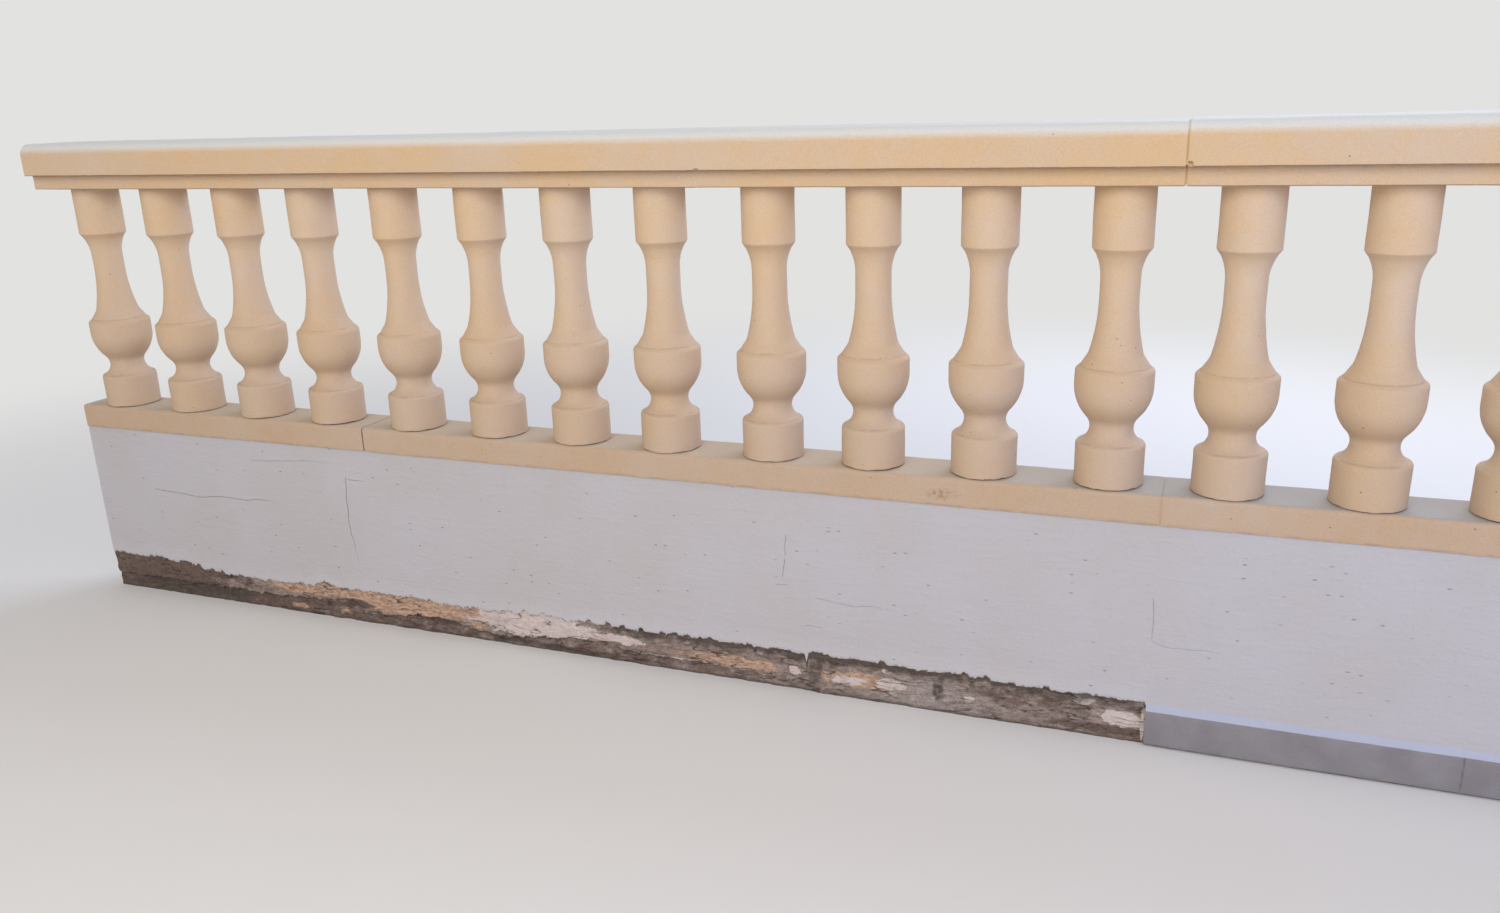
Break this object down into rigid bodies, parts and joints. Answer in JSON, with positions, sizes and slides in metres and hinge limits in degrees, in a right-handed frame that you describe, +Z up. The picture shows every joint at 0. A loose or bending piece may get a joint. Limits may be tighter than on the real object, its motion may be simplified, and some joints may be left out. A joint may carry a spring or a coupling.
{
  "type": "stone balustrade",
  "caption": "Run of cast-stone balustrade in bays: a moulded handrail on turned balusters, set on a base rail over a white rendered dwarf wall with tiled skirting.",
  "frame": {"origin": "middle of the wall's foot, on the ground", "axes": "+X along the wall, to the right as seen from the front; -Y is the front; +Z is up"},
  "size_m": [4, 0.22, 1.309],
  "materials": {
    "cast_stone": "matt cream masonry paint",
    "white_render": "brushed white paint",
    "masonry": "rough",
    "bed_mortar": "rough",
    "joint_mortar": "rough",
    "stoneware": "matt"
  },
  "bodies": {
    "root": {"wall_core": "masonry", "back_render": "white_render", "left_end_render": "white_render", "right_end_render": "white_render", "front_render": "white_render", "bare_mortar_bed": "bed_mortar", "tile_mortar_bed": "bed_mortar", "skirting_tile_1": "stoneware", "skirting_tile_2": "stoneware", "skirting_cove": "white_render", "base_rail_1": "cast_stone", "base_rail_2": "cast_stone", "base_rail_3": "cast_stone", "base_rail_4": "cast_stone", "base_rail_joints": "joint_mortar", "handrail_1": "cast_stone", "handrail_2": "cast_stone", "handrail_3": "cast_stone", "handrail_4": "cast_stone", "handrail_joints": "joint_mortar", "baluster_1": "cast_stone", "baluster_2": "cast_stone", "baluster_3": "cast_stone", "baluster_4": "cast_stone", "baluster_5": "cast_stone", "baluster_6": "cast_stone", "baluster_7": "cast_stone", "baluster_8": "cast_stone", "baluster_9": "cast_stone", "baluster_10": "cast_stone", "baluster_11": "cast_stone", "baluster_12": "cast_stone", "baluster_13": "cast_stone", "baluster_14": "cast_stone", "baluster_15": "cast_stone", "baluster_16": "cast_stone"}
  },
  "joints": []
}
